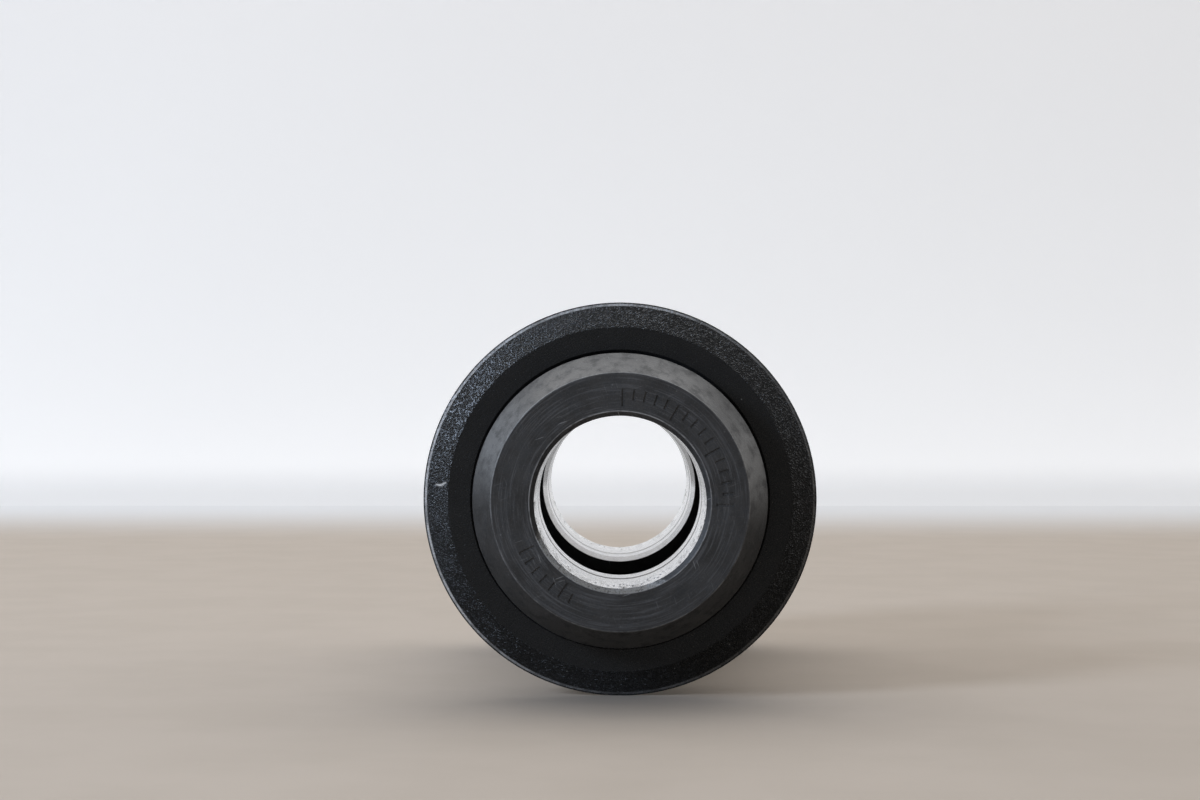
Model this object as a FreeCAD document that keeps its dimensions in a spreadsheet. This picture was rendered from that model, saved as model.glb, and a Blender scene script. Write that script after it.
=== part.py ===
"""Press-fit bottom bracket for a 46 mm bore, 68 mm wide frame shell and a 24 mm crank spindle.

The spindle's axis is Y: the drive side is at -Y, the front of the bicycle is +X and up is +Z.
The origin is the middle of the bracket, on the axis, so both sides share one set of sizes.
A "station" is a distance along the axis from the middle plane, outboard positive on either side.
Everything turned is a sketch of radius against station, revolved about Y.
"""

import FreeCAD, Part

import os

import Sketcher

# Driving dimensions: alias, value in mm (degrees for the one angle, a plain number for the one count).
SIZES = [
    # Stations of the main faces.
    ("half_width", 45.25),  # outer faces of the adapters, where the crank arms bear
    ("half_shell", 34.0),  # faces of the 68 mm frame shell
    # Cup.
    ("press_radius", 23.0),
    ("press_land", 14.0),
    ("flange_radius", 28.2),
    ("flange_rim", 0.35),
    ("flange_height", 2.05),
    ("flange_face_radius", 24.55),
    ("cup_throat_radius", 19.8),
    ("cup_edge", 0.4),
    ("land_chamfer", 0.6),
    # Bearing, 30 x 42 x 7.
    ("bearing_proud", 0.25),  # its outer face stands this far outboard of the shell's
    ("bearing_width", 7.0),
    ("bearing_bore_radius", 15.0),
    ("bearing_outside_radius", 21.0),
    ("pitch_radius", 18.0),
    ("ball_radius", 1.75),
    ("ball_play", 0.05),
    ("inner_land_radius", 16.7),
    ("outer_land_radius", 19.3),
    ("race_edge", 0.3),
    ("shield_seat_radius", 19.8),
    ("shield_recess", 0.3),
    ("shield_thickness", 0.6),
    ("shield_inner_radius", 17.0),
    ("cage_inner_radius", 17.0),
    ("cage_outer_radius", 19.0),
    ("cage_half_width", 2.15),
    ("window_radius", 1.85),
    # Adapter.
    ("spindle_radius", 12.01),
    ("bore_chamfer", 0.6),
    ("cap_face_radius", 18.0),
    ("cap_radius", 20.85),
    ("bevel_depth", 5.4),
    ("cap_gap", 0.3),  # between the turning cap and the still cup
    ("neck_radius", 19.6),
    ("neck_length", 1.15),
    ("boss_radius", 17.2),
    ("ring_groove_radius", 14.1),
    ("ring_groove_half_width", 0.6),
    ("adapter_ring_section", 0.45),
    # Inner collar.
    ("collar_length", 10.05),
    ("collar_head_radius", 16.6),
    ("collar_head_length", 1.4),
    ("collar_tail_radius", 14.9),
    ("collar_step", 0.4),
    ("collar_lead_in", 2.4),
    # Dust seal on the adapter's boss.
    ("seal_body_radius", 18.3),
    ("seal_lip_radius", 19.1),
    ("seal_lip_thickness", 0.35),
    # Centre sleeve.
    ("sleeve_inside_radius", 17.4),
    ("sleeve_outside_radius", 18.7),
    ("sleeve_band_radius", 19.65),
    ("sleeve_half_length", 25.6),
    ("sleeve_band_length", 4.4),
    ("sleeve_rib_half_width", 0.6),
    ("sleeve_rib_pitch", 6.5),
    ("sleeve_ring_inset", 2.2),
    ("sleeve_ring_section", 0.7),
    ("sleeve_groove_half_width", 0.9),
]

BALLS = 22
SIDES = [("drive", -1), ("non_drive", 1)]

doc = FreeCAD.newDocument("bottom_bracket")
subparts = []


def make_sheet():
    sheet = doc.addObject("Spreadsheet::Sheet", "Sizes")
    for row, (alias, value) in enumerate(SIZES, start=1):
        sheet.set(f"A{row}", alias)
        sheet.set(f"B{row}", str(value))
        sheet.setAlias(f"B{row}", alias)
    sheet.set(f"B{len(SIZES) + 1}", str(BALLS))
    sheet.setAlias(f"B{len(SIZES) + 1}", "ball_count")
    doc.recompute()


def in_sheet(expression):
    """Point every alias in an expression at the sheet."""
    words = expression.replace("(", "( ").replace(")", " )").split()
    aliases = {alias for alias, _ in SIZES}
    return " ".join(f"Sizes.{word}" if word in aliases else word for word in words)


def origin_feature(body, role):
    return next(feature for feature in body.Origin.OriginFeatures if feature.Role == role)


def new_body(label):
    body = doc.addObject("PartDesign::Body", label)
    body.Label = label
    subparts.append(body)
    return body


def new_sketch(body, name):
    """A sketch on the body's XY plane: across is the radius, up is the bracket's axis."""
    sketch = body.newObject("Sketcher::SketchObject", f"{body.Name}_{name}")
    sketch.AttachmentSupport = [(origin_feature(body, "XY_Plane"), "")]
    sketch.MapMode = "FlatFace"
    return sketch


def bind_point(sketch, geometry, vertex, across, up):
    """Tie one sketch point to the expressions for its two coordinates."""
    for kind, expression in (("DistanceX", across), ("DistanceY", up)):
        value = float(sketch.evalExpression(expression))
        index = sketch.addConstraint(Sketcher.Constraint(kind, -1, 1, geometry, vertex, value))
        sketch.setExpression(f"Constraints[{index}]", expression)


def add_outline(sketch, side, outline):
    """Close a polygon through (radius, station) expressions, mirrored to the given side."""
    points = [(in_sheet(radius), f"{side} * ( {in_sheet(station)} )") for radius, station in outline]
    places = [
        FreeCAD.Vector(float(sketch.evalExpression(across)), float(sketch.evalExpression(up)), 0)
        for across, up in points
    ]
    count = len(points)
    for index in range(count):
        sketch.addGeometry(Part.LineSegment(places[index], places[(index + 1) % count]))
    for index in range(count):
        sketch.addConstraint(Sketcher.Constraint("Coincident", index, 2, (index + 1) % count, 1))
    for index, (across, up) in enumerate(points):
        bind_point(sketch, index, 1, across, up)


def add_circle(sketch, side, radius, station, section):
    """Draw a round section whose middle is at (radius, station)."""
    across = in_sheet(radius)
    up = f"{side} * ( {in_sheet(station)} )"
    size = in_sheet(section)
    middle = FreeCAD.Vector(float(sketch.evalExpression(across)), float(sketch.evalExpression(up)), 0)
    circle = Part.Circle(middle, FreeCAD.Vector(0, 0, 1), float(sketch.evalExpression(size)))
    geometry = sketch.addGeometry(circle)
    bind_point(sketch, geometry, 3, across, up)
    index = sketch.addConstraint(Sketcher.Constraint("Radius", geometry, circle.Radius))
    sketch.setExpression(f"Constraints[{index}]", size)


def revolve(body, sketch, kind="Revolution"):
    feature = body.newObject(f"PartDesign::{kind}", f"{body.Name}_{kind.lower()}")
    feature.Profile = sketch
    feature.ReferenceAxis = (sketch, ["V_Axis"])
    feature.Angle = 360
    doc.recompute()
    return feature


def turned(label, side, outline):
    body = new_body(label)
    sketch = new_sketch(body, "profile")
    add_outline(sketch, side, outline)
    revolve(body, sketch)
    return body


def o_ring(label, side, radius, station, section):
    body = new_body(label)
    sketch = new_sketch(body, "section")
    add_circle(sketch, side, radius, station, section)
    revolve(body, sketch)
    return body


def ring_pattern(body, feature):
    """Repeat a feature once for each ball, evenly around the axis."""
    pattern = body.newObject("PartDesign::PolarPattern", f"{body.Name}_pattern")
    pattern.Originals = [feature]
    pattern.Axis = (origin_feature(body, "Y_Axis"), [""])
    pattern.Angle = 360
    pattern.setExpression("Occurrences", "Sizes.ball_count")
    body.Tip = pattern
    doc.recompute()


# Stations that several parts share.
BEARING_FACE = "half_shell + bearing_proud"
BEARING_MIDDLE = "half_shell + bearing_proud - bearing_width / 2"
BEARING_BACK = "half_shell + bearing_proud - bearing_width"
CUP_FACE = "half_shell + flange_height"
CUP_END = "half_shell - press_land"
CAP_BACK = "half_shell + flange_height + cap_gap"
NECK_END = "half_shell + flange_height + cap_gap - neck_length"
RING_STATION = BEARING_MIDDLE


def cup(name, side):
    """Flanged cup: bearing seat, shoulder, press land, and the flange with its broad chamfer."""
    turned(f"{name}_cup", side, [
        ("bearing_outside_radius", BEARING_BACK),
        ("bearing_outside_radius", f"{CUP_FACE} - cup_edge"),
        ("bearing_outside_radius + cup_edge", CUP_FACE),
        ("flange_face_radius", CUP_FACE),
        ("flange_radius", "half_shell + flange_rim"),
        ("flange_radius", "half_shell"),
        ("press_radius", "half_shell"),
        ("press_radius", f"{CUP_END} + land_chamfer"),
        ("press_radius - land_chamfer", CUP_END),
        ("cup_throat_radius + cup_edge", CUP_END),
        ("cup_throat_radius", f"{CUP_END} + cup_edge"),
        ("cup_throat_radius", BEARING_BACK),
    ])


def bearing_outer_ring(name, side):
    """Outer ring with a shield seat at each face and a ball groove in its middle."""
    body = turned(f"{name}_bearing_outer_ring", side, [
        ("bearing_outside_radius", f"{BEARING_BACK} + race_edge"),
        ("bearing_outside_radius", f"{BEARING_FACE} - race_edge"),
        ("bearing_outside_radius - race_edge", BEARING_FACE),
        ("shield_seat_radius", BEARING_FACE),
        ("shield_seat_radius", f"{BEARING_FACE} - shield_recess - shield_thickness"),
        ("outer_land_radius", f"{BEARING_FACE} - shield_recess - shield_thickness"),
        ("outer_land_radius", f"{BEARING_BACK} + shield_recess + shield_thickness"),
        ("shield_seat_radius", f"{BEARING_BACK} + shield_recess + shield_thickness"),
        ("shield_seat_radius", BEARING_BACK),
        ("bearing_outside_radius - race_edge", BEARING_BACK),
    ])
    ball_groove(body, side)


def bearing_inner_ring(name, side):
    """Inner ring, pressed on the adapter's sleeve."""
    body = turned(f"{name}_bearing_inner_ring", side, [
        ("bearing_bore_radius", f"{BEARING_BACK} + race_edge"),
        ("bearing_bore_radius", f"{BEARING_FACE} - race_edge"),
        ("bearing_bore_radius + race_edge", BEARING_FACE),
        ("inner_land_radius", BEARING_FACE),
        ("inner_land_radius", BEARING_BACK),
        ("bearing_bore_radius + race_edge", BEARING_BACK),
    ])
    ball_groove(body, side)


def ball_groove(body, side):
    sketch = new_sketch(body, "race")
    add_circle(sketch, side, "pitch_radius", BEARING_MIDDLE, "ball_radius + ball_play")
    before = body.Shape.Volume
    revolve(body, sketch, "Groove")
    if body.Shape.Volume > before - 1:
        raise RuntimeError(f"{body.Label}: the ball groove cut nothing")


def bearing_shields(name, side):
    """The two thin shields clipped into the outer ring, just clear of the inner one."""
    outer_high = f"{BEARING_FACE} - shield_recess"
    inner_low = f"{BEARING_BACK} + shield_recess"
    for place, low, high in (
        ("outer", f"{outer_high} - shield_thickness", outer_high),
        ("inner", inner_low, f"{inner_low} + shield_thickness"),
    ):
        turned(f"{name}_{place}_bearing_shield", side, [
            ("shield_inner_radius", low),
            ("shield_inner_radius", high),
            ("shield_seat_radius", high),
            ("shield_seat_radius", low),
        ])


def ball_cage(name, side):
    """Cage ring with one round window for each ball."""
    body = turned(f"{name}_ball_cage", side, [
        ("cage_inner_radius", f"{BEARING_MIDDLE} - cage_half_width"),
        ("cage_inner_radius", f"{BEARING_MIDDLE} + cage_half_width"),
        ("cage_outer_radius", f"{BEARING_MIDDLE} + cage_half_width"),
        ("cage_outer_radius", f"{BEARING_MIDDLE} - cage_half_width"),
    ])
    sketch = new_sketch(body, "window")
    add_circle(sketch, side, "0 * window_radius", BEARING_MIDDLE, "window_radius")
    before = body.Shape.Volume
    window = body.newObject("PartDesign::Pocket", f"{body.Name}_pocket")
    window.Profile = sketch
    window.Reversed = True
    window.setExpression("Length", "Sizes.cage_outer_radius + Sizes.window_radius")
    doc.recompute()
    if window.Shape.Volume > before - 1:
        raise RuntimeError(f"{body.Label}: the window cut nothing")
    ring_pattern(body, window)


def balls(name, side):
    """All the balls of one bearing, the first one straight above the axis."""
    body = new_body(f"{name}_balls")
    ball = body.newObject("PartDesign::AdditiveSphere", f"{body.Name}_ball")
    ball.setExpression("Radius", "Sizes.ball_radius")
    ball.AttachmentSupport = [(origin_feature(body, "XY_Plane"), "")]
    ball.MapMode = "FlatFace"
    ball.setExpression("AttachmentOffset.Base.y", f"{side} * ( {in_sheet(BEARING_MIDDLE)} )")
    ball.setExpression("AttachmentOffset.Base.z", "Sizes.pitch_radius")
    doc.recompute()
    ring_pattern(body, ball)


def adapter(name, side):
    """Bevelled cap, neck and boss, with a sleeve that carries the inner ring on the spindle."""
    turned(f"{name}_adapter", side, [
        ("spindle_radius", BEARING_BACK),
        ("spindle_radius", "half_width - bore_chamfer"),
        ("spindle_radius + bore_chamfer", "half_width"),
        ("cap_face_radius", "half_width"),
        ("cap_radius", "half_width - bevel_depth"),
        ("cap_radius", CAP_BACK),
        ("neck_radius", CAP_BACK),
        ("neck_radius", NECK_END),
        ("boss_radius", NECK_END),
        ("boss_radius", BEARING_FACE),
        ("bearing_bore_radius", BEARING_FACE),
        ("bearing_bore_radius", f"{RING_STATION} + ring_groove_half_width"),
        ("ring_groove_radius", f"{RING_STATION} + ring_groove_half_width"),
        ("ring_groove_radius", f"{RING_STATION} - ring_groove_half_width"),
        ("bearing_bore_radius", f"{RING_STATION} - ring_groove_half_width"),
        ("bearing_bore_radius", BEARING_BACK),
    ])


def adapter_o_ring(name, side):
    """O-ring lying in the sleeve's groove, level with the inner ring's bore."""
    o_ring(f"{name}_adapter_o_ring", side,
           "ring_groove_radius + adapter_ring_section", RING_STATION, "adapter_ring_section")


def inner_collar(name, side):
    """Collar behind the bearing: its head bears on the inner ring, its tail steers the spindle in."""
    collar_end = f"{BEARING_BACK} - collar_length"
    head_end = f"{BEARING_BACK} - collar_head_length"
    turned(f"{name}_inner_collar", side, [
        ("spindle_radius", BEARING_BACK),
        ("collar_head_radius", BEARING_BACK),
        ("collar_head_radius", head_end),
        ("collar_tail_radius + collar_step", head_end),
        ("collar_tail_radius", f"{head_end} - collar_step"),
        ("collar_tail_radius", f"{collar_end} + collar_step"),
        ("collar_tail_radius - collar_step", collar_end),
        ("spindle_radius + bore_chamfer", collar_end),
        ("spindle_radius", f"{collar_end} + collar_lead_in"),
    ])


def dust_seal(name, side):
    """Rubber ring on the boss, with a lip that reaches over the gap in front of the bearing."""
    turned(f"{name}_dust_seal", side, [
        ("boss_radius", f"{BEARING_FACE} + seal_lip_thickness / 2"),
        ("boss_radius", NECK_END),
        ("seal_body_radius", NECK_END),
        ("seal_body_radius", f"{BEARING_FACE} + seal_lip_thickness * 3 / 2"),
        ("seal_lip_radius", f"{BEARING_FACE} + seal_lip_thickness"),
        ("seal_lip_radius", f"{BEARING_FACE} + seal_lip_thickness / 2"),
    ])


def center_sleeve():
    """Plastic dust tube with an O-ring band at each end and stiffening ribs between them."""
    band_start = "sleeve_half_length - sleeve_band_length"
    ring = "sleeve_half_length - sleeve_ring_inset"
    half = [
        ("sleeve_band_radius", "sleeve_half_length"),
        ("sleeve_band_radius", f"{ring} + sleeve_groove_half_width"),
        ("cup_throat_radius - 2 * sleeve_ring_section", f"{ring} + sleeve_groove_half_width"),
        ("cup_throat_radius - 2 * sleeve_ring_section", f"{ring} - sleeve_groove_half_width"),
        ("sleeve_band_radius", f"{ring} - sleeve_groove_half_width"),
        ("sleeve_band_radius", band_start),
        ("sleeve_outside_radius", band_start),
    ]
    for rib in (2, 1):
        middle = f"{rib} * sleeve_rib_pitch"
        half += [
            ("sleeve_outside_radius", f"{middle} + sleeve_rib_half_width"),
            ("sleeve_band_radius", f"{middle} + sleeve_rib_half_width"),
            ("sleeve_band_radius", f"{middle} - sleeve_rib_half_width"),
            ("sleeve_outside_radius", f"{middle} - sleeve_rib_half_width"),
        ]
    half += [
        ("sleeve_outside_radius", "sleeve_rib_half_width"),
        ("sleeve_band_radius", "sleeve_rib_half_width"),
    ]
    other_half = [(radius, f"0 - ( {station} )") for radius, station in reversed(half)]
    inside = [
        ("sleeve_inside_radius", "0 - sleeve_half_length"),
        ("sleeve_inside_radius", "sleeve_half_length"),
    ]
    turned("center_sleeve", 1, half + other_half + inside)


def sleeve_o_ring(name, side):
    """O-ring that seals the sleeve's end band in the cup's throat."""
    o_ring(f"{name}_sleeve_o_ring", side, "cup_throat_radius - sleeve_ring_section",
           "sleeve_half_length - sleeve_ring_inset", "sleeve_ring_section")


def check_document():
    doc.recompute()
    for thing in doc.Objects:
        if "Invalid" in thing.State or "Error" in thing.State:
            raise RuntimeError(f"{thing.Name}: {thing.State}")
    for body in subparts:
        if body.Shape.isNull() or not body.Shape.isValid() or not body.Shape.Solids:
            raise RuntimeError(f"{body.Label}: bad shape")


def write_parts():
    os.makedirs("parts", exist_ok=True)
    for body in subparts:
        body.Shape.exportStep(os.path.join("parts", f"{body.Label}.step"))
        print(f"{body.Label}: {len(body.Shape.Solids)} solids, {body.Shape.Volume:.1f} mm3")


make_sheet()
center_sleeve()
for side_name, side_sign in SIDES:
    cup(side_name, side_sign)
    sleeve_o_ring(side_name, side_sign)
    bearing_outer_ring(side_name, side_sign)
    bearing_shields(side_name, side_sign)
    ball_cage(side_name, side_sign)
    balls(side_name, side_sign)
    bearing_inner_ring(side_name, side_sign)
    adapter(side_name, side_sign)
    adapter_o_ring(side_name, side_sign)
    inner_collar(side_name, side_sign)
    dust_seal(side_name, side_sign)
check_document()
write_parts()
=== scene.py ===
"""Looks of the press-fit bottom bracket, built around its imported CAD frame.

Lengths of the object are given in millimetres, multiplied by MM on the way in. The stage and the lights
are in metres. The bracket's axis is Y, so every turned piece is an outline of (radius, station) corners
revolved about Y. A station is the distance from the middle plane, outboard positive. The drive side is at
-Y and faces the camera.
"""
import math

import bmesh
import bpy
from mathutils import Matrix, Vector


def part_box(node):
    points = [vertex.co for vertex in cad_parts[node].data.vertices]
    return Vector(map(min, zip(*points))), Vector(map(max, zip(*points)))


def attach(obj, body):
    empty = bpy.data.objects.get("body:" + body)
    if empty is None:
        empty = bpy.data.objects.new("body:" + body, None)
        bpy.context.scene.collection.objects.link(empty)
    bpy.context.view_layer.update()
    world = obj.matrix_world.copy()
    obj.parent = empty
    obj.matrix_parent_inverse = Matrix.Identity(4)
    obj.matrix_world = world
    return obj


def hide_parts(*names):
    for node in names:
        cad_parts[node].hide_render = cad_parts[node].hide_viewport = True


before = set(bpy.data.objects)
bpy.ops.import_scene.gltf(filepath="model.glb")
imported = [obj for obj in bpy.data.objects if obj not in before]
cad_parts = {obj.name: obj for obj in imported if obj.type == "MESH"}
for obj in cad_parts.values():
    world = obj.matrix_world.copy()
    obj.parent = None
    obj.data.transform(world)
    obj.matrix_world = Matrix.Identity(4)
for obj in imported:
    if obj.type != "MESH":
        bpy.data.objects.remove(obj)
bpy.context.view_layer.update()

MM = 0.001
SIDES = {"drive": -1, "non_drive": 1}

# Main sizes, read from the frame.
half_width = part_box("non_drive_adapter")[1].y / MM
cap_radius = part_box("non_drive_adapter")[1].x / MM
bearing_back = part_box("non_drive_adapter")[0].y / MM
cup_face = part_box("non_drive_cup")[1].y / MM
cup_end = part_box("non_drive_cup")[0].y / MM
flange_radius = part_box("non_drive_cup")[1].x / MM
collar_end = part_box("non_drive_inner_collar")[0].y / MM
collar_head_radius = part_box("non_drive_inner_collar")[1].x / MM
sleeve_half_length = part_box("center_sleeve")[1].y / MM
sleeve_band_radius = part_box("center_sleeve")[1].x / MM
bearing_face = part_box("non_drive_bearing_inner_ring")[1].y / MM
bearing_outside_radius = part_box("non_drive_bearing_outer_ring")[1].x / MM

# Sizes that no box in the frame gives.
bearing_bore_radius = 15.0
bore_radius = 12.01
joint_radius = 12.25  # the small relief where adapter and collar meet
mouth_radius = 12.61  # the outer edge of each end of the bore
bevel_radius = 18.0  # where the cap's flat face ends and its bevel starts
land_radius = 23.0  # the press land of the cup
ring_radius = 24.55  # where the flange's flat part ends and its textured cone starts
cup_inside_radius = 19.8
bevel_depth = 5.4
lead_in = 2.4
flange_back = bearing_face - 0.25


# ---------------------------------------------------------------- camera, lights and stage

def make_camera():
    data = bpy.data.cameras.new("camera")
    data.sensor_width = 36
    data.lens = 68.2
    data.clip_start = 0.01
    data.clip_end = 20
    camera = bpy.data.objects.new("camera", data)
    camera.location = (-0.9 * MM, -360.5 * MM, 14.2 * MM)
    camera.rotation_euler = (math.radians(90), 0, math.radians(0.345))
    bpy.context.scene.collection.objects.link(camera)
    bpy.context.scene.camera = camera


def make_softbox(name, place, target, size, radiance, colour):
    """A rectangular area light, given by what it radiates rather than by its power."""
    data = bpy.data.lights.new(name, "AREA")
    data.shape = "RECTANGLE"
    data.size, data.size_y = size
    data.color = colour
    data.energy = radiance * math.pi * size[0] * size[1]
    light = bpy.data.objects.new(name, data)
    light.location = place
    light.rotation_euler = (Vector(target) - Vector(place)).to_track_quat("-Z", "Y").to_euler()
    bpy.context.scene.collection.objects.link(light)
    return light


def make_world():
    """Soft surround for the reflections: bright above and behind, dim in front and below.

    The camera itself sees it plain and pale.
    """
    world = bpy.data.worlds.new("surround")
    bpy.context.scene.world = world
    world.use_nodes = True
    world.node_tree.nodes.clear()
    nodes = Nodes(world.node_tree)
    _, y, z = nodes.add("SeparateXYZ", nodes.add("TexCoord").outputs["Generated"]).outputs
    height = nodes.ramp(z, -0.06, 0.45, 0.05, 1.0)
    depth = nodes.ramp(y, -0.35, 0.5, 0.10, 0.95)
    straight_back = nodes.ramp(y, 0.70, 0.92, 0.0, 0.55)
    straight_front = nodes.ramp(y, -0.95, -0.6, 0.1, 0.0)
    straight = nodes.calc("MAXIMUM", straight_back, straight_front)
    lighting = nodes.calc("MAXIMUM", nodes.calc("MULTIPLY", height, depth), straight)
    seen = nodes.ramp(nodes.add("LightPath").outputs["Is Camera Ray"], 0.0, 1.0, 0.0, 0.78)
    strength = nodes.calc("MAXIMUM", lighting, seen)
    background = nodes.add("Background", (0.97, 0.98, 1.0), strength)
    nodes.add("OutputWorld", background.outputs[0])


def sheet_mesh(name, rows, half_span, material):
    """A sheet swept along X over (y, z) points, seen from above and in front."""
    mesh = bpy.data.meshes.new(name)
    points = [(x, y, z) for y, z in rows for x in (-half_span, half_span)]
    faces = [(2 * i, 2 * i + 1, 2 * i + 3, 2 * i + 2) for i in range(len(rows) - 1)]
    mesh.from_pydata(points, [], faces)
    mesh.polygons.foreach_set("use_smooth", [True] * len(faces))
    mesh.materials.append(material)
    sheet = bpy.data.objects.new(name, mesh)
    bpy.context.scene.collection.objects.link(sheet)
    return sheet


def make_stage():
    """A floor under the flanges, paler towards its far end, and a curved pale backdrop behind it that
    glows, weaker near the floor.
    """
    floor_height = -flange_radius * MM
    floor_reach, fade_start = 8.0, 0.32
    cove_start, cove_radius, wall_top, wall_reach = 0.55, 0.3, 1.1, 0.6
    floor_paint = Finish("floor_paint")
    grain = floor_paint.noise(floor_paint.place(), 60, 4)
    near = floor_paint.blend(grain, 0.3, 0.7, (0.550, 0.463, 0.375), (0.575, 0.485, 0.396))
    depth = floor_paint.add("SeparateXYZ", floor_paint.place()).outputs[1]
    floor_paint.colour(floor_paint.blend(depth, fade_start, cove_start, near, (0.90, 0.895, 0.89)))
    floor_paint.rough(0.75)
    wall_paint_and_glow = Finish("wall_paint_and_glow")
    grain = wall_paint_and_glow.noise(wall_paint_and_glow.place(), 3, 2)
    wall_paint_and_glow.colour(wall_paint_and_glow.blend(grain, 0.3, 0.7, (0.85, 0.843, 0.84), (0.87, 0.863, 0.86)))
    wall_paint_and_glow.rough(0.9)
    height = wall_paint_and_glow.add("SeparateXYZ", wall_paint_and_glow.place()).outputs[2]
    # The backdrop glows, weaker at its foot by the floor: painted light.
    wall_paint_and_glow.glow((1.0, 0.985, 0.975), wall_paint_and_glow.ramp(height, floor_height, -0.012, 0.10, 0.29))
    floor_rows = [(-floor_reach, floor_height), (cove_start, floor_height)]
    floor = sheet_mesh("floor", floor_rows, floor_reach, floor_paint.material)
    floor.visible_glossy = False
    turns = [math.radians(angle) for angle in range(0, 91, 5)]
    cove = [
        (cove_start + cove_radius * math.sin(turn), floor_height + cove_radius * (1 - math.cos(turn)))
        for turn in turns
    ]
    wall_rows = cove + [(cove_start + cove_radius, wall_top)]
    sheet_mesh("backdrop", wall_rows, wall_reach, wall_paint_and_glow.material)


# ---------------------------------------------------------------- finishes

class Nodes:
    """Short calls for building a node tree."""

    def __init__(self, tree):
        self.tree = tree

    def add(self, kind, *inputs, **settings):
        """Make a node; inputs are its sockets in order, each a link, a value or None."""
        node = self.tree.nodes.new(f"ShaderNode{kind}")
        for key, value in settings.items():
            setattr(node, key, value)
        for socket, value in zip(node.inputs, inputs):
            self.feed(socket, value)
        return node

    def feed(self, socket, value):
        if value is None:
            return
        if isinstance(value, bpy.types.NodeSocket):
            self.tree.links.new(value, socket)
        elif isinstance(value, tuple) and len(socket.default_value) == 4:
            socket.default_value = (*value, 1)
        else:
            socket.default_value = value

    def calc(self, operation, a, b=None, c=None):
        return self.add("Math", a, b, c, operation=operation).outputs[0]

    def ramp(self, value, low, high, out_low=0.0, out_high=1.0):
        """Smooth step of value from out_low to out_high; low may be above high."""
        node = self.add("MapRange", value, interpolation_type="SMOOTHSTEP")
        if low > high:
            low, high, out_low, out_high = high, low, out_high, out_low
        amounts = {"From Min": low, "From Max": high, "To Min": out_low, "To Max": out_high}
        for name, amount in amounts.items():
            self.feed(node.inputs[name], amount)
        return node.outputs["Result"]


class Finish(Nodes):
    """A node material on the Principled shader, with short calls for what the finishes share."""

    def __init__(self, name):
        self.material = bpy.data.materials.new(name)
        self.material.use_nodes = True
        super().__init__(self.material.node_tree)
        self.shader = self.tree.nodes["Principled BSDF"]
        self.heights = None

    def place(self):
        return self.add("TexCoord").outputs["Object"]

    def scaled(self, factors):
        """The place with each of its coordinates multiplied by its own factor."""
        return self.add("VectorMath", self.place(), factors, operation="MULTIPLY").outputs[0]

    def noise(self, vector, scale, detail=2.0, roughness=0.5):
        node = self.add("TexNoise")
        self.feed(node.inputs["Vector"], vector)
        self.feed(node.inputs["Scale"], float(scale))
        self.feed(node.inputs["Detail"], float(detail))
        self.feed(node.inputs["Roughness"], roughness)
        return node.outputs["Fac"]

    def cells(self, vector, scale):
        """Voronoi cells: (distance to the nearest middle, a random grey for each cell)."""
        node = self.add("TexVoronoi")
        self.feed(node.inputs["Vector"], vector)
        self.feed(node.inputs["Scale"], float(scale))
        grey = self.add("SeparateColor", node.outputs["Color"]).outputs[0]
        return node.outputs["Distance"], grey

    def mix(self, share, first, second):
        """Colour mix: first at share 0, second at 1."""
        node = self.add("Mix", data_type="RGBA")
        colours = [socket for socket in node.inputs if socket.type == "RGBA"]
        self.feed(node.inputs[0], share)
        self.feed(colours[0], first)
        self.feed(colours[1], second)
        return next(socket for socket in node.outputs if socket.type == "RGBA")

    def blend(self, value, low, high, first, second):
        return self.mix(self.ramp(value, low, high), first, second)

    def around(self):
        """(radius, station, cosine, sine) about the bracket's axis, the first two in millimetres."""
        x, y, z = self.add("SeparateXYZ", self.scaled((1 / MM,) * 3)).outputs
        square = self.calc("ADD", self.calc("MULTIPLY", x, x), self.calc("MULTIPLY", z, z))
        radius = self.calc("SQRT", square)
        cosine = self.calc("DIVIDE", x, radius)
        sine = self.calc("DIVIDE", z, radius)
        return radius, self.calc("ABSOLUTE", y), cosine, sine

    def turned_about_y(self, vector, angle):
        node = self.add("VectorRotate", vector, rotation_type="Y_AXIS")
        self.feed(node.inputs["Angle"], angle)
        return node.outputs[0]

    def turned(self, across, along, offset=0.0):
        """Coordinates for marks that run round the axis.

        across is how fast they change per millimetre of the outline, and along how fast round a turn.
        The slant lets them change along cylinders and across flat faces alike.
        """
        slant = 1.37
        radius, station, cosine, sine = self.around()
        outline = self.calc("MULTIPLY_ADD", station, slant, radius)
        step = self.calc("MULTIPLY_ADD", outline, across, offset)
        round_x = self.calc("MULTIPLY", cosine, along)
        round_z = self.calc("MULTIPLY", sine, along)
        return self.add("CombineXYZ", step, round_x, round_z).outputs[0]

    def bump(self, height, depth):
        """Stack a relief of that depth, in millimetres, on what is there."""
        node = self.add("Bump")
        self.feed(node.inputs["Strength"], 1.0)
        self.feed(node.inputs["Distance"], depth * MM)
        self.feed(node.inputs["Height"], height)
        self.feed(node.inputs["Normal"], self.heights)
        self.heights = node.outputs["Normal"]
        self.feed(self.shader.inputs["Normal"], self.heights)

    def colour(self, value):
        self.feed(self.shader.inputs["Base Color"], value)

    def rough(self, value):
        self.feed(self.shader.inputs["Roughness"], value)

    def metal(self, value):
        self.feed(self.shader.inputs["Metallic"], value)

    def gloss(self, index):
        self.shader.inputs["IOR"].default_value = index

    def glow(self, colour, strength):
        self.feed(self.shader.inputs["Emission Color"], colour)
        self.feed(self.shader.inputs["Emission Strength"], strength)


def band(finish, value, middle, half):
    """1 where value is within half of middle, fading to 0 at twice that."""
    away = finish.calc("ABSOLUTE", finish.calc("SUBTRACT", value, middle))
    return finish.ramp(away, 2 * half, half)


def specks(finish, scale, size, share):
    """Sparse round specks: size is their reach within a cell, share the part of the cells with one."""
    distance, grey = finish.cells(finish.place(), scale)
    spot = finish.ramp(distance, size, size * 0.5)
    return finish.calc("MULTIPLY", spot, finish.calc("LESS_THAN", grey, share))


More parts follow.
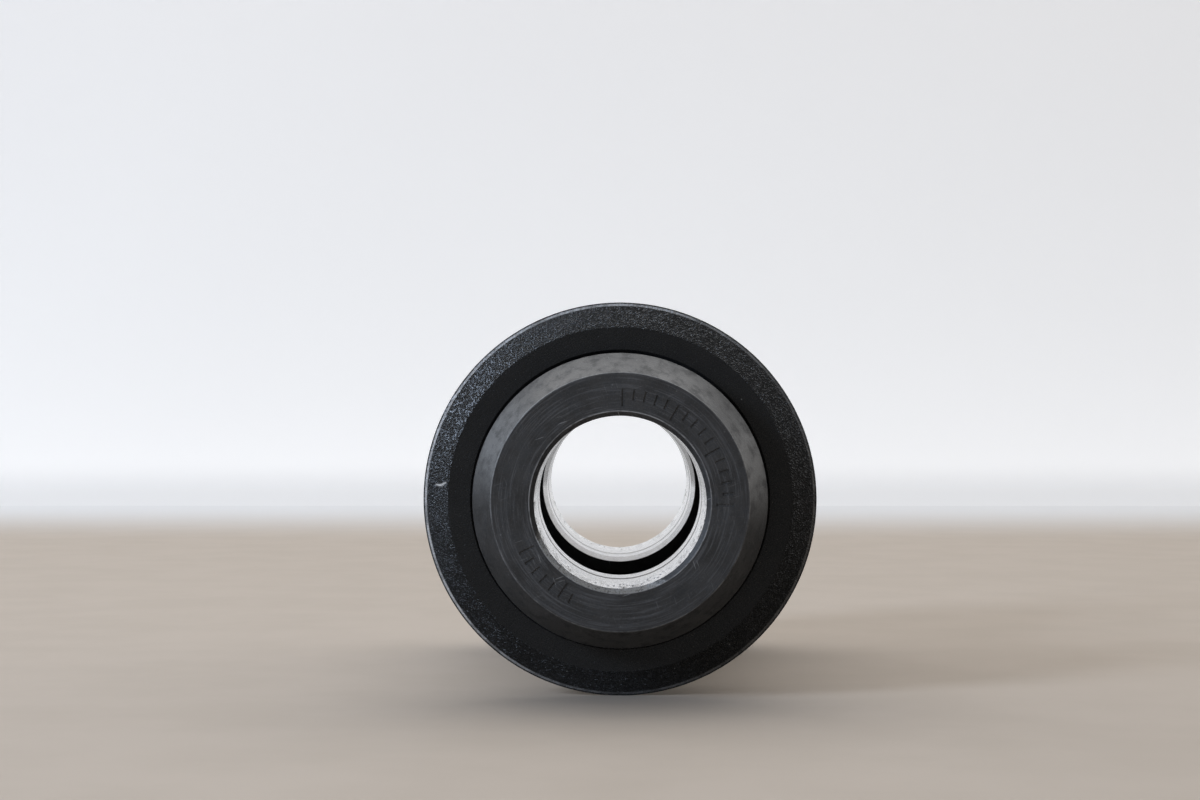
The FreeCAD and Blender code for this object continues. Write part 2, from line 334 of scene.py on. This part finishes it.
def scratches(finish):
    """Short straight light scratches, scattered over two directions: (turn in radians, share) each."""
    stretch = (260.0, 260.0, 3600.0)
    marks = []
    for turn, share in ((0.35, 0.10), (1.9, 0.08)):
        turned = finish.turned_about_y(finish.place(), turn)
        stretched = finish.add("VectorMath", turned, stretch, operation="MULTIPLY").outputs[0]
        distance, grey = finish.cells(stretched, 1.0)
        line = finish.ramp(distance, 0.22, 0.12)
        marks.append(finish.calc("MULTIPLY", line, finish.calc("LESS_THAN", grey, share)))
    return finish.calc("MAXIMUM", *marks)


def cap_black(finish, face, cloud, smudge, grain):
    """The cap's black: fine drawn lines on its flat face, handled patches and dust elsewhere."""
    line = finish.noise(finish.turned(5.0, 2.6, 40.0), 1.0, 4, 0.65)
    tone = finish.blend(cloud, 0.35, 0.7, (0.0425, 0.0408, 0.0390), (0.0580, 0.0558, 0.0538))
    drawn = finish.calc("MULTIPLY", finish.ramp(line, 0.48, 0.66), face)
    tone = finish.mix(drawn, tone, (0.105, 0.105, 0.108))
    off_face = finish.ramp(face, 1.0, 0.0, 0.25, 0.8)
    handled = finish.calc("MULTIPLY", finish.ramp(smudge, 0.5, 0.68), off_face)
    tone = finish.mix(handled, tone, (0.024, 0.023, 0.022))
    tone = finish.mix(finish.ramp(grain, 0.55, 0.75, 0.0, 0.7), tone, (0.12, 0.12, 0.125))
    dusty = finish.ramp(cloud, 0.4, 0.6, 0.2, 1.0)
    dust = finish.calc("MULTIPLY", specks(finish, 900, 0.15, 0.10), dusty)
    return finish.mix(dust, tone, (0.16, 0.16, 0.16))


def cap_wear(finish, tone, face, wear):
    """Light scratches, densest near the bore, and edges rubbed pale at the bore and the bevel."""
    radius, station, _, _ = finish.around()
    near_bore = finish.ramp(radius, 15.5, 13.4, 0.25, 1.0)
    scratch = finish.calc("MULTIPLY", scratches(finish), near_bore)
    tone = finish.mix(finish.calc("MULTIPLY", scratch, 0.8), tone, (0.30, 0.30, 0.30))
    mouth = finish.calc("MULTIPLY", band(finish, radius, mouth_radius + 0.07, 0.05), face)
    at_front = finish.ramp(station, half_width - 0.35, half_width - 0.15)
    shoulder = finish.calc("MULTIPLY", band(finish, radius, bevel_radius, 0.07), at_front)
    edge = finish.calc("MAXIMUM", mouth, finish.calc("MULTIPLY", shoulder, 0.35))
    worn = finish.calc("MULTIPLY", edge, finish.ramp(wear, 0.38, 0.62, 0.25, 0.9))
    return finish.mix(worn, tone, (0.36, 0.36, 0.36))


def bare_mouth(finish, wear):
    """Share of bare metal: a ragged patch on the lower left of the bore's outer chamfer."""
    radius, station, cosine, sine = finish.around()
    inside_mouth = finish.ramp(radius, mouth_radius + 0.13, mouth_radius + 0.01)
    at_front = finish.ramp(station, half_width - 0.75, half_width - 0.65)
    chamfer = finish.calc("MULTIPLY", inside_mouth, at_front)
    lower_left = finish.calc("MULTIPLY_ADD", cosine, -0.34, finish.calc("MULTIPLY", sine, -0.94))
    patchy = finish.calc("SUBTRACT", wear, 0.5)
    ragged = finish.calc("MULTIPLY_ADD", patchy, 0.5, lower_left)
    return finish.calc("MULTIPLY", chamfer, finish.ramp(ragged, 0.62, 0.8))


def cap_finish():
    """Black anodising over a fine-turned surface, handled, scratched and a little worn at its edges."""
    finish = Finish("adapter_black")
    _, station, _, _ = finish.around()
    face = finish.ramp(station, half_width - 0.3, half_width - 0.05)
    fine = finish.noise(finish.turned(9.0, 1.6), 1.0, 2)
    cloud = finish.noise(finish.place(), 260, 4, 0.6)
    smudge = finish.noise(finish.place(), 480, 5, 0.68)
    grain = finish.noise(finish.place(), 3800, 3, 0.6)
    wear = finish.noise(finish.place(), 700, 5, 0.7)
    tone = cap_black(finish, face, cloud, smudge, grain)
    tone = cap_wear(finish, tone, face, wear)
    bare = bare_mouth(finish, wear)
    metal_tone = finish.blend(grain, 0.5, 0.68, (0.95, 0.94, 0.92), (0.42, 0.40, 0.38))
    finish.colour(finish.mix(bare, tone, metal_tone))
    finish.metal(bare)
    cloudy = finish.ramp(cloud, 0.3, 0.7, 0.33, 0.42)
    smeared = finish.ramp(smudge, 0.42, 0.66, 0.0, 0.2)
    finish.rough(finish.calc("ADD", cloudy, smeared))
    finish.gloss(1.75)
    finish.bump(finish.calc("MULTIPLY", fine, face), 0.008)
    finish.bump(grain, 0.03)
    return finish.material


def nick(finish, place, reach, turn):
    """One ragged stroke of a nick at (x, y, z) in millimetres, turned about Y by that many degrees."""
    middle = tuple(part * MM for part in place)
    squeeze = (1 / MM, 0.1 / MM, 3.0 / MM)
    away = finish.add("VectorMath", finish.place(), middle, operation="SUBTRACT").outputs[0]
    turned = finish.turned_about_y(away, math.radians(turn))
    flat = finish.add("VectorMath", turned, squeeze, operation="MULTIPLY").outputs[0]
    length = finish.add("VectorMath", flat, operation="LENGTH").outputs["Value"]
    ragged = finish.noise(finish.place(), 2200, 4, 0.7)
    reached = finish.calc("MULTIPLY_ADD", ragged, 1.2 * reach, length)
    return finish.ramp(reached, 1.1 * reach, 0.75 * reach)


def rim_wear_and_highlight(finish):
    """Pale share of the flange's rim: rubbed metal and a painted highlight, strongest at its upper left.
    """
    radius, _, cosine, sine = finish.around()
    wear = finish.noise(finish.place(), 420, 5, 0.72)
    rim = band(finish, radius, flange_radius - 0.36, 0.10)
    # Painted highlight: the rim is paler towards the window light at the upper left.
    upper_left = finish.calc("MULTIPLY_ADD", cosine, -0.87, finish.calc("MULTIPLY", sine, 0.5))
    worn = finish.calc("MULTIPLY", rim, finish.ramp(wear, 0.36, 0.58, 0.4, 1.0))
    return finish.calc("MULTIPLY", worn, finish.ramp(upper_left, -0.5, 0.7, 0.22, 1.0))


def blasted_finish():
    """Black anodising over coarse bead-blasting, worn and painted with a highlight along the rim, nicked
    once.
    """
    finish = Finish("cup_blasted")
    radius, _, _, _ = finish.around()
    cone = finish.ramp(radius, ring_radius - 0.10, ring_radius + 0.15)
    facets, facet_grey = finish.cells(finish.place(), 4200)
    grain = finish.noise(finish.place(), 4400, 2, 0.6)
    cloud = finish.noise(finish.place(), 220, 3, 0.6)
    tone = finish.blend(cloud, 0.35, 0.7, (0.0168, 0.0161, 0.0154), (0.0208, 0.0200, 0.0192))
    # Paler facets on the cone: painted glints, the bead-blasting's sparkle put into its colour.
    painted_glint_facets = finish.calc("MULTIPLY", finish.ramp(facet_grey, 0.5, 1.0), cone)
    tone = finish.mix(painted_glint_facets, tone, (0.032, 0.0315, 0.032))
    tone = finish.mix(specks(finish, 520, 0.07, 0.16), tone, (0.20, 0.20, 0.19))
    # Pale rim: rubbed metal and a painted highlight, strongest towards the window.
    tone = finish.mix(rim_wear_and_highlight(finish), tone, (0.70, 0.70, 0.70))
    first_stroke = nick(finish, (-25.85, -35.5, 2.05), 1.25, -6)
    second_stroke = nick(finish, (-25.25, -35.5, 2.25), 1.2, 24)
    struck = finish.calc("MAXIMUM", first_stroke, second_stroke)
    finish.colour(finish.mix(struck, tone, (0.75, 0.75, 0.73)))
    finish.rough(finish.ramp(grain, 0.3, 0.7, 0.25, 0.35))
    finish.gloss(1.65)
    finish.bump(grain, 0.07)
    relief = finish.calc("MULTIPLY", finish.calc("MULTIPLY", facets, facet_grey), cone)
    finish.bump(relief, 0.21)
    return finish.material


def land_finish():
    """Black anodised press land, with pale rub marks from being pressed in."""
    finish = Finish("cup_turned")
    fine = finish.noise(finish.turned(7.0, 1.2), 1.0, 3)
    cloud = finish.noise(finish.place(), 200, 4, 0.6)
    radius, station, cosine, sine = finish.around()
    streak_place = finish.add(
        "CombineXYZ",
        finish.calc("MULTIPLY", cosine, 140.0),
        finish.calc("MULTIPLY", sine, 140.0),
        finish.calc("MULTIPLY", station, 0.22),
    ).outputs[0]
    streak = finish.noise(streak_place, 1.0, 4, 0.6)
    tone = finish.blend(cloud, 0.35, 0.7, (0.016, 0.0165, 0.018), (0.026, 0.0265, 0.028))
    streaked = finish.ramp(streak, 0.56, 0.68, 0.0, 0.7)
    rubbed = finish.calc("MULTIPLY", streaked, finish.ramp(cloud, 0.42, 0.6))
    above = finish.ramp(radius, land_radius - 0.4, land_radius - 0.1)
    below = finish.ramp(radius, land_radius + 0.3, land_radius + 0.1)
    rubbed = finish.calc("MULTIPLY", rubbed, finish.calc("MULTIPLY", above, below))
    tone = finish.mix(rubbed, tone, (0.12, 0.12, 0.12))
    finish.colour(tone)
    finish.rough(finish.ramp(fine, 0.3, 0.7, 0.30, 0.42))
    finish.gloss(1.7)
    finish.bump(fine, 0.006)
    return finish.material


def bore_finish():
    """Bare turned aluminium: dulled, scored along its length and pitted towards the mouth."""
    finish = Finish("bore_bare")
    _, station, _, _ = finish.around()
    fine = finish.noise(finish.turned(8.0, 1.0), 1.0, 3)
    along = finish.scaled((1.0, 0.13, 1.0))
    stain = finish.noise(along, 620, 6, 0.72)
    streak = finish.noise(along, 1500, 3, 0.6)
    pits, pit_grey = finish.cells(finish.scaled((1.0, 0.25, 1.0)), 2300)
    mouth = finish.ramp(station, 31.0, 42.0)
    # Paler towards the mouth, darker deeper in: painted light and shade that evens out the bore's
    # brightness along its length.
    tone = finish.blend(station, 27.0, 40.0, (0.74, 0.735, 0.73), (0.87, 0.86, 0.845))
    tone = finish.mix(finish.ramp(streak, 0.45, 0.65, 0.0, 0.5), tone, (0.56, 0.55, 0.54))
    dirty = finish.calc("MULTIPLY", finish.ramp(stain, 0.46, 0.64), mouth)
    tone = finish.mix(finish.calc("MULTIPLY", dirty, 0.6), tone, (0.42, 0.40, 0.38))
    pitted = finish.calc("LESS_THAN", pit_grey, 0.2)
    spot = finish.calc("MULTIPLY", finish.ramp(pits, 0.5, 0.3), pitted)
    spot = finish.calc("MULTIPLY", spot, finish.ramp(station, 31.0, 43.0))
    darkened = finish.calc("MULTIPLY", spot, finish.ramp(stain, 0.35, 0.6, 0.3, 1.0))
    tone = finish.mix(darkened, tone, (0.06, 0.055, 0.05))
    joint = finish.calc("MULTIPLY", band(finish, station, bearing_back + 0.3, 0.4), 0.6)
    tone = finish.mix(joint, tone, (0.36, 0.35, 0.34))
    finish.colour(tone)
    finish.metal(finish.ramp(spot, 0.0, 1.0, 0.72, 0.1))
    rough = finish.calc("MULTIPLY_ADD", dirty, 0.11, finish.ramp(fine, 0.3, 0.7, 0.13, 0.24))
    rough = finish.calc("MULTIPLY_ADD", joint, 0.3, rough)
    finish.rough(finish.calc("MULTIPLY_ADD", spot, 0.5, rough))
    finish.bump(fine, 0.008)
    return finish.material


def plastic_finish(name, dark, light, roughness):
    """A fine grain with faint flow marks: moulded plastic, and the index marks' pale walls, a painted
    highlight.
    """
    finish = Finish(name)
    grain = finish.noise(finish.place(), 2600, 3, 0.55)
    flow = finish.noise(finish.place(), 130, 4, 0.6)
    finish.colour(finish.blend(flow, 0.35, 0.7, dark, light))
    finish.rough(finish.ramp(flow, 0.3, 0.7, roughness - 0.05, roughness + 0.06))
    finish.bump(grain, 0.02)
    return finish.material


def rubber_finish():
    """Black rubber with a dull bloom."""
    finish = Finish("seal_rubber")
    grain = finish.noise(finish.place(), 3200, 3, 0.6)
    bloom = finish.noise(finish.place(), 240, 4, 0.65)
    finish.colour(finish.blend(bloom, 0.4, 0.72, (0.013, 0.013, 0.013), (0.035, 0.034, 0.033)))
    finish.rough(finish.ramp(bloom, 0.3, 0.7, 0.58, 0.72))
    finish.bump(grain, 0.015)
    return finish.material


def steel_finish(name, roughness, tint):
    """Ground bearing steel with its grinding lines round the axis and a thin film of grease."""
    finish = Finish(name)
    fine = finish.noise(finish.turned(12.0, 0.8), 1.0, 3)
    film = finish.noise(finish.place(), 300, 3, 0.6)
    finish.colour(finish.blend(film, 0.35, 0.7, tint, tuple(0.82 * part for part in tint)))
    finish.metal(1.0)
    ground = finish.ramp(fine, 0.3, 0.7, roughness, roughness + 0.08)
    greased = finish.ramp(film, 0.45, 0.7, 0.0, 0.08)
    finish.rough(finish.calc("ADD", ground, greased))
    finish.bump(fine, 0.003)
    return finish.material


# ---------------------------------------------------------------- turned pieces

# Steps round a turned piece (FINE where it is seen close), steps round each rounded corner, and how far
# beyond a corner's arc a point holds the shading of the straight span.
FINE = 480
MEDIUM = 256
ARC_STEPS = 5
HOLD = 0.05


def round_corner(before, corner, after, fillet):
    """Points of the arc that rounds one corner, with a holding point beyond each end of it."""
    if fillet == 0:
        return [corner]
    toward_before = (before - corner).normalized()
    toward_after = (after - corner).normalized()
    half_angle = toward_before.angle(toward_after) / 2
    reach = fillet / math.tan(half_angle)
    middle = corner + (toward_before + toward_after).normalized() * (fillet / math.sin(half_angle))
    start = corner + toward_before * reach - middle
    turn = start.angle_signed(corner + toward_after * reach - middle)
    arc = []
    for step in range(ARC_STEPS + 1):
        angle = -turn * step / ARC_STEPS
        across = start.x * math.cos(angle) - start.y * math.sin(angle)
        along = start.x * math.sin(angle) + start.y * math.cos(angle)
        arc.append(middle + Vector((across, along)))
    hold_before = corner + toward_before * (reach + HOLD)
    hold_after = corner + toward_after * (reach + HOLD)
    return [hold_before, *arc, hold_after]


def outline_points(corners):
    """Expand (radius, station, fillet, paint) corners into (point, paint of the span after it)."""
    places = [Vector(corner[:2]) for corner in corners]
    points = []
    for index, (_, _, fillet, paint) in enumerate(corners):
        following = places[(index + 1) % len(places)]
        arc = round_corner(places[index - 1], places[index], following, fillet)
        points += [(point, paint) for point in arc]
    return points


def add_rings(work, points, side, segments, ridge):
    """One ring of vertices for each point of the outline."""
    rings = []
    for point, _ in points:
        ring = []
        for step in range(segments):
            turn = 2 * math.pi * step / segments
            reach = point.x + (ridge(point, step, segments) if ridge else 0)
            place = (reach * math.cos(turn) * MM, side * point.y * MM, reach * math.sin(turn) * MM)
            ring.append(work.verts.new(place))
        rings.append(ring)
    return rings


def add_spans(work, points, rings):
    """Join each ring to the next; returns (point, faces of the span after it) for each point."""
    spans = []
    for index, (point, paint) in enumerate(points):
        here, there = rings[index], rings[(index + 1) % len(rings)]
        row = []
        for step in range(len(here)):
            following = (step + 1) % len(here)
            face = work.faces.new((here[step], here[following], there[following], there[step]))
            face.material_index = paint
            face.smooth = True
            row.append(face)
        spans.append((point, row))
    return spans


def revolve(name, side, corners, paints, segments=MEDIUM, ridge=None, cut=None):
    """Revolve a closed outline about Y. paints are the materials that the corners name by index."""
    points = outline_points(corners)
    work = bmesh.new()
    spans = add_spans(work, points, add_rings(work, points, side, segments, ridge))
    bmesh.ops.recalc_face_normals(work, faces=work.faces)
    if cut:
        cut(work, spans, side)
    mesh = bpy.data.meshes.new(name)
    work.to_mesh(mesh)
    work.free()
    for paint in paints:
        mesh.materials.append(paint)
    piece = bpy.data.objects.new(name, mesh)
    bpy.context.scene.collection.objects.link(piece)
    return piece


def stands_for(piece, node, body):
    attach(piece, body)
    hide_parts(node)


# Index marks on the cap: plain radial strokes in two groups, every fifth one long. Their spacing and
# width are in steps round the piece, and a group is (first step, count).
MARK_INNER, MARK_SPLIT, MARK_OUTER = 13.35, 14.25, 15.75
MARK_DEPTH = 0.13
MARK_STEP = 8
MARK_WIDTH = 2
MARK_GROUPS = ((-3, 16), (275, 7))
LONG_EVERY = 5


def marked_faces(spans):
    """The faces of the cap's flat face that the index marks cover."""
    slack = 0.01
    chosen = []
    for first, count in MARK_GROUPS:
        for number in range(count):
            inner = MARK_INNER if number % LONG_EVERY == 0 else MARK_SPLIT
            start = first + number * MARK_STEP
            for point, row in spans:
                on_face = abs(point.y - half_width) < HOLD
                if on_face and inner - slack < point.x < MARK_OUTER - slack:
                    chosen += [row[(start + step) % FINE] for step in range(MARK_WIDTH)]
    return chosen


def cut_marks(work, spans, side):
    """Sink the index marks into the cap's face, with walls in the pale third paint, a painted highlight
    on their edges.
    """
    chosen = marked_faces(spans)
    sunk = bmesh.ops.extrude_face_region(work, geom=chosen)
    bmesh.ops.delete(work, geom=chosen, context="FACES_ONLY")
    moved = [part for part in sunk["geom"] if isinstance(part, bmesh.types.BMVert)]
    bmesh.ops.translate(work, verts=moved, vec=(0, -side * MARK_DEPTH * MM, 0))
    for edge in {edge for vert in moved for edge in vert.link_edges}:
        edge.smooth = False
    floors = {part for part in sunk["geom"] if isinstance(part, bmesh.types.BMFace)}
    for face in {face for vert in moved for face in vert.link_faces}:
        face.smooth = False
        face.material_index = 0 if face in floors else 2


def adapter(name, side):
    """The bevelled cap, its boss and the sleeve through the bearing, with an O-ring groove."""
    black, bare = 0, 1
    cap_back = cup_face + 0.3
    neck_radius, neck_end, boss_radius = 19.6, cap_back - 1.15, 17.2
    groove_radius, groove_half = 14.1, 0.6
    middle = (bearing_face + bearing_back) / 2
    corners = [
        (joint_radius, bearing_back, 0.05, bare),
        (bore_radius, bearing_back + 0.7, 0.2, bare),
        (bore_radius, half_width - 0.6, 0.08, black),
        (mouth_radius, half_width, 0.06, black),
        (MARK_INNER, half_width, 0, black),
        (MARK_SPLIT, half_width, 0, black),
        (MARK_OUTER, half_width, 0, black),
        (bevel_radius, half_width, 0.12, black),
        (cap_radius, half_width - bevel_depth, 0.15, black),
        (cap_radius, cap_back, 0.2, black),
        (neck_radius, cap_back, 0.1, black),
        (neck_radius, neck_end, 0.1, black),
        (boss_radius, neck_end, 0.08, black),
        (boss_radius, bearing_face, 0.1, black),
        (bearing_bore_radius, bearing_face, 0.05, bare),
        (bearing_bore_radius, middle + groove_half, 0.08, bare),
        (groove_radius, middle + groove_half, 0.08, bare),
        (groove_radius, middle - groove_half, 0.08, bare),
        (bearing_bore_radius, middle - groove_half, 0.08, bare),
        (bearing_bore_radius, bearing_back, 0.2, bare),
    ]
    paints = [cap_finish_material, bore_finish_material, mark_highlight_material]
    piece = revolve(f"{name}_adapter_turned", side, corners, paints, FINE, cut=cut_marks)
    stands_for(piece, f"{name}_adapter", f"{name}_rotor")


def inner_collar(name, side):
    """The collar behind the bearing; its bore carries the adapter's on."""
    black, bare = 0, 1
    head_end = bearing_back - 1.4
    nose_radius, nose_chamfer = 14.9, 0.4
    corners = [
        (bore_radius, bearing_back - 1.3, 0.2, bare),
        (joint_radius, bearing_back, 0.05, black),
        (collar_head_radius, bearing_back, 0.2, black),
        (collar_head_radius, head_end, 0.2, black),
        (nose_radius + nose_chamfer, head_end, 0.05, black),
        (nose_radius, head_end - nose_chamfer, 0.1, black),
        (nose_radius, collar_end + nose_chamfer, 0.1, black),
        (nose_radius - nose_chamfer, collar_end, 0.1, black),
        (mouth_radius, collar_end, 0.04, bare),
        (bore_radius, collar_end + lead_in, 0.2, bare),
    ]
    paints = [cap_finish_material, bore_finish_material]
    piece = revolve(f"{name}_inner_collar_turned", side, corners, paints)
    stands_for(piece, f"{name}_inner_collar", f"{name}_rotor")


def cup(name, side):
    """The flanged cup: a seat for the bearing inside and the press land outside."""
    blasted, turned = 0, 1
    end_chamfer, flange_edge, seat_chamfer = 0.6, 0.35, 0.4
    corners = [
        (bearing_outside_radius, bearing_back, 0.1, turned),
        (bearing_outside_radius, cup_face - seat_chamfer, 0.08, turned),
        (bearing_outside_radius + seat_chamfer, cup_face, 0.08, blasted),
        (ring_radius, cup_face, 0.12, blasted),
        (flange_radius, flange_back + flange_edge, 0.12, blasted),
        (flange_radius, flange_back, 0.08, turned),
        (land_radius, flange_back, 0.05, turned),
        (land_radius, cup_end + end_chamfer, 0.12, turned),
        (land_radius - end_chamfer, cup_end, 0.12, turned),
        (cup_inside_radius + seat_chamfer, cup_end, 0.1, turned),
        (cup_inside_radius, cup_end + seat_chamfer, 0.1, turned),
        (cup_inside_radius, bearing_back, 0.1, turned),
    ]
    paints = [blasted_finish_material, land_finish_material]
    piece = revolve(f"{name}_cup_turned", side, corners, paints, FINE)
    stands_for(piece, f"{name}_cup", "housing")


def center_sleeve():
    """Moulded tube with end bands, O-ring grooves, five ribs and a parting line down each side."""
    ring, groove_half, groove_radius = sleeve_half_length - 2.2, 0.9, 18.4
    wall_radius, inside_radius, band_start = 18.7, 17.4, sleeve_half_length - 4.4
    rib_half, rib_pitch = 0.6, 6.5
    half = [
        (inside_radius, sleeve_half_length, 0.2, 0),
        (sleeve_band_radius, sleeve_half_length, 0.25, 0),
        (sleeve_band_radius, ring + groove_half, 0.1, 0),
        (groove_radius, ring + groove_half, 0.1, 0),
        (groove_radius, ring - groove_half, 0.1, 0),
        (sleeve_band_radius, ring - groove_half, 0.1, 0),
        (sleeve_band_radius, band_start, 0.2, 0),
        (wall_radius, band_start, 0.25, 0),
    ]
    for rib in (2, 1):
        top, bottom = rib * rib_pitch + rib_half, rib * rib_pitch - rib_half
        half += [
            (wall_radius, top, 0.25, 0),
            (sleeve_band_radius, top, 0.25, 0),
            (sleeve_band_radius, bottom, 0.25, 0),
            (wall_radius, bottom, 0.25, 0),
        ]
    half += [(wall_radius, rib_half, 0.25, 0), (sleeve_band_radius, rib_half, 0.25, 0)]
    other_half = [(radius, -station, fillet, paint) for radius, station, fillet, paint in reversed(half)]

    def parting_line(point, step, segments):
        line_height = 0.07
        outside = point.x > wall_radius - 0.1 and abs(point.y) < band_start + 0.2
        return line_height if outside and step in (0, segments // 2) else 0.0

    corners = half + other_half
    paints = [sleeve_finish_material]
    piece = revolve("center_sleeve_moulded", 1, corners, paints, ridge=parting_line)
    stands_for(piece, "center_sleeve", "housing")


def repaint(material, *nodes):
    for node in nodes:
        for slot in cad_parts[node].material_slots:
            slot.material = material


def repaint_hidden(name):
    """The bearing and its seals keep their CAD shape and get their real finishes."""
    repaint(steel_finish_material, f"{name}_bearing_outer_ring", f"{name}_bearing_inner_ring")
    repaint(ball_finish_material, f"{name}_balls")
    repaint(cage_finish_material, f"{name}_ball_cage")
    repaint(rubber_finish_material, f"{name}_outer_bearing_shield", f"{name}_inner_bearing_shield")
    repaint(rubber_finish_material, f"{name}_adapter_o_ring", f"{name}_sleeve_o_ring")
    repaint(rubber_finish_material, f"{name}_dust_seal")


# ---------------------------------------------------------------- making it all

make_camera()
make_world()
make_stage()
make_softbox("ceiling", (0.0, 0.45, 0.80), (0, 0.1, 0), (1.3, 0.7), 1.05, (1.0, 1.0, 1.0))
make_softbox("window", (-0.75, -0.55, 0.42), (0, 0, 0), (0.24, 0.30), 23.0, (0.66, 0.79, 1.0))
make_softbox("side_window", (-0.8, 0.5, 0.34), (0, 0, 0), (0.5, 0.5), 1.3, (0.72, 0.84, 1.0))
make_softbox("side_bounce", (0.85, 0.45, 0.16), (0, 0, 0), (0.5, 0.45), 0.75, (1.0, 0.98, 0.95))
bpy.context.scene.view_settings.view_transform = "Standard"

cap_finish_material = cap_finish()
# Pale walls of the index marks: a painted highlight along their edges.
mark_highlight_material = plastic_finish("mark_edge_highlight", (0.085, 0.085, 0.09), (0.13, 0.13, 0.135), 0.4)
bore_finish_material = bore_finish()
blasted_finish_material = blasted_finish()
land_finish_material = land_finish()
sleeve_dark, sleeve_light = (0.010, 0.010, 0.011), (0.020, 0.020, 0.021)
sleeve_finish_material = plastic_finish("sleeve_nylon", sleeve_dark, sleeve_light, 0.46)
cage_finish_material = plastic_finish("cage_nylon", (0.42, 0.35, 0.22), (0.5, 0.42, 0.28), 0.5)
rubber_finish_material = rubber_finish()
steel_finish_material = steel_finish("bearing_steel", 0.22, (0.56, 0.56, 0.57))
ball_finish_material = steel_finish("ball_steel", 0.08, (0.7, 0.7, 0.71))

center_sleeve()
for side_name, side_sign in SIDES.items():
    cup(side_name, side_sign)
    adapter(side_name, side_sign)
    inner_collar(side_name, side_sign)
    repaint_hidden(side_name)

bpy.context.view_layer.update()
